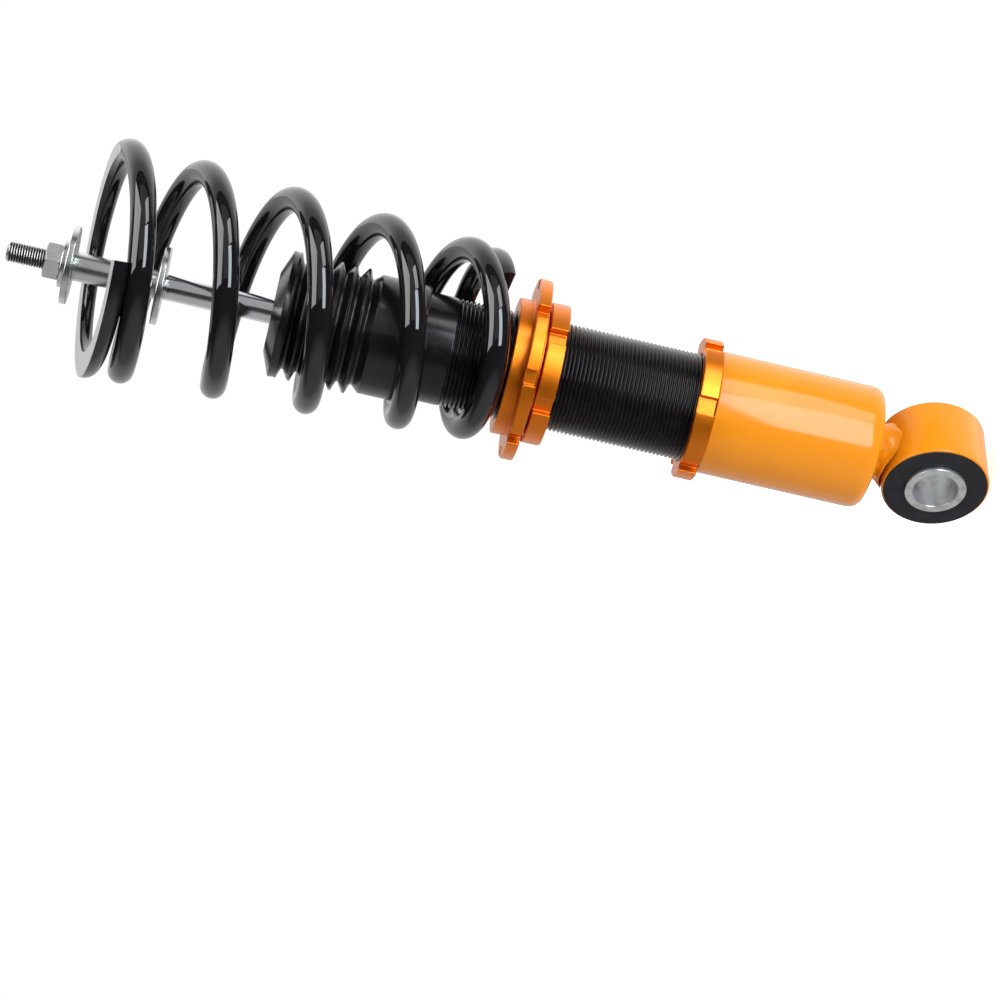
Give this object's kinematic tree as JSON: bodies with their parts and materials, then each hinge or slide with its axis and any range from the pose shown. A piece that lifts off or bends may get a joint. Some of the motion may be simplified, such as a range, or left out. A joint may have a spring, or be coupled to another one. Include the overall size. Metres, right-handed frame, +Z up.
{
  "type": "coilover",
  "caption": "Height-adjustable coilover: threaded damper body in a screwed lower eye bracket, spring perch with lock rings, conical coil spring, dust boot and threaded rod end.",
  "frame": {"origin": "centre of the lower eye's sleeve bore", "axes": "+Z runs up the damper axis to the threaded stud; the lower eye's bolt lies along Y, canted 5 degrees in the YZ plane"},
  "size_m": [0.1161, 0.1167, 0.488],
  "materials": {
    "zinc_plated": "zinc plated",
    "zinc_sleeve": "zinc plated, drawn bore",
    "hard_chrome": "ground and polished",
    "black_rubber": "satin",
    "bush_rubber": "matt",
    "black_plated": "black plated thread",
    "spring_black": "gloss powder coat",
    "orange_anodised": "orange anodised",
    "yellow_paint": "gloss powder coat",
    "plain_steel": "machined",
    "sintered_iron": "sintered",
    "bronze": "sintered bronze",
    "seal_rubber": "smooth",
    "foam": "microcellular foam",
    "ptfe": "filled PTFE"
  },
  "bodies": {
    "eye_sleeve": {"bush_sleeve": "zinc_sleeve"},
    "bracket": {"rubber_bush": "bush_rubber", "eye_ring": "yellow_paint", "eye_neck": "yellow_paint", "neck_weld": "yellow_paint", "lower_bracket": "yellow_paint"},
    "lower_ring": {"lower_lock_ring": "orange_anodised"},
    "damper_body": {"threaded_body": "black_plated", "body_base": "plain_steel", "base_valve": "sintered_iron", "pressure_tube": "plain_steel", "guide_bush": "bronze", "rod_guide": "sintered_iron", "rod_seal": "seal_rubber", "gland_nut": "black_plated", "bump_stop": "foam", "dust_boot": "black_rubber"},
    "spring_set": {"coil_spring": "spring_black"},
    "perch": {"spring_perch": "orange_anodised"},
    "upper_ring": {"upper_lock_ring": "orange_anodised"},
    "rod": {"piston_rod": "hard_chrome", "piston": "sintered_iron", "piston_band": "ptfe", "rebound_shims": "plain_steel", "compression_shims": "plain_steel", "piston_nut": "plain_steel", "rebound_stop": "plain_steel", "lower_washer": "zinc_plated", "spacer_sleeve": "zinc_plated", "upper_washer": "zinc_plated", "nut_washer": "zinc_plated", "top_nut": "zinc_plated"}
  },
  "joints": [
    {"name": "eye_pivot", "type": "hinge", "parent": "eye_sleeve", "child": "bracket", "pos_m": [0, 0, 0], "axis": [0, -0.9962, -0.0872], "range_deg": [-12, 12], "stiffness_Nm_per_rad": 70},
    {"name": "body_height", "type": "slide", "parent": "bracket", "child": "damper_body", "axis": [0, 0, 1], "range_m": [-0.006, 0.03]},
    {"name": "lower_ring_turn", "type": "hinge", "parent": "bracket", "child": "lower_ring", "pos_m": [0, 0, 0.1192], "axis": [0, 0, 1], "range_deg": [0, 60]},
    {"name": "perch_height", "type": "slide", "parent": "damper_body", "child": "spring_set", "axis": [0, 0, 1], "range_m": [-0.04, 0.02]},
    {"name": "perch_turn", "type": "hinge", "parent": "spring_set", "child": "perch", "pos_m": [0, 0, 0.2075], "axis": [0, 0, 1], "range_deg": [-7200, 3600]},
    {"name": "upper_ring_turn", "type": "hinge", "parent": "perch", "child": "upper_ring", "pos_m": [0, 0, 0.1951], "axis": [0, 0, 1], "range_deg": [-45, 0]},
    {"name": "rod_slide", "type": "slide", "parent": "damper_body", "child": "rod", "axis": [0, 0, 1], "range_m": [-0.07, 0], "stiffness_N_per_m": 500, "springref_m": 0.04, "deforming": ["coil_spring", "dust_boot"]}
  ],
  "couplings": [
    {"joint": "perch_turn", "follows": "perch_height", "rad_per_m": 3141.6}
  ]
}
